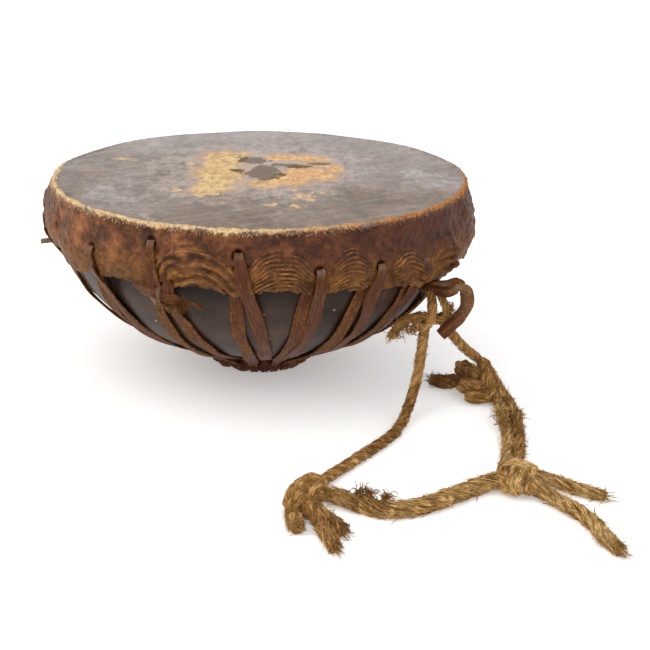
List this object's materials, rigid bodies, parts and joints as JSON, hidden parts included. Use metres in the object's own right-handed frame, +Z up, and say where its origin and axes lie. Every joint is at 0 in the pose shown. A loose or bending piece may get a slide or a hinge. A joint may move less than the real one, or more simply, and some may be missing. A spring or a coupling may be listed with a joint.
{
  "type": "ceremonial kettledrum",
  "caption": "Bowl-shaped ceremonial drum of blackened iron with a laced hide head, a hide ring as its foot, a hide carry loop and a knotted hemp rope.",
  "frame": {"origin": "on the floor under the drum's axis", "axes": "+Z up the drum's axis, -Y to the front, +X to the side with the carry loop"},
  "size_m": [0.3756, 0.4474, 0.142],
  "materials": {
    "iron": "blackened sheet iron, satin",
    "head_hide": "old raw hide, worn and darkened",
    "thong_hide": "dried hide thong",
    "hemp": "laid hemp rope, frayed"
  },
  "bodies": {
    "root": {"bowl": "iron", "drumhead": "head_hide", "base_ring": "thong_hide", "lace_01": "thong_hide", "lace_02": "thong_hide", "lace_03": "thong_hide", "lace_04": "thong_hide", "lace_05": "thong_hide", "lace_06": "thong_hide", "lace_07": "thong_hide", "lace_08": "thong_hide", "lace_09": "thong_hide", "lace_10": "thong_hide", "lace_11": "thong_hide", "lace_12": "thong_hide", "lace_13": "thong_hide", "lace_14": "thong_hide", "lace_15": "thong_hide", "lace_16": "thong_hide", "lace_17": "thong_hide", "lace_18": "thong_hide", "lace_19": "thong_hide", "lace_20": "thong_hide", "lace_knot": "thong_hide", "lace_end": "thong_hide", "carry_loop": "thong_hide", "rope_front": "hemp", "rope_near": "hemp", "rope_side_outer": "hemp", "rope_side_inner": "hemp", "rope_back": "hemp", "tie_knot": "hemp", "knot_left": "hemp", "knot_right": "hemp", "knot_middle": "hemp"}
  },
  "joints": []
}
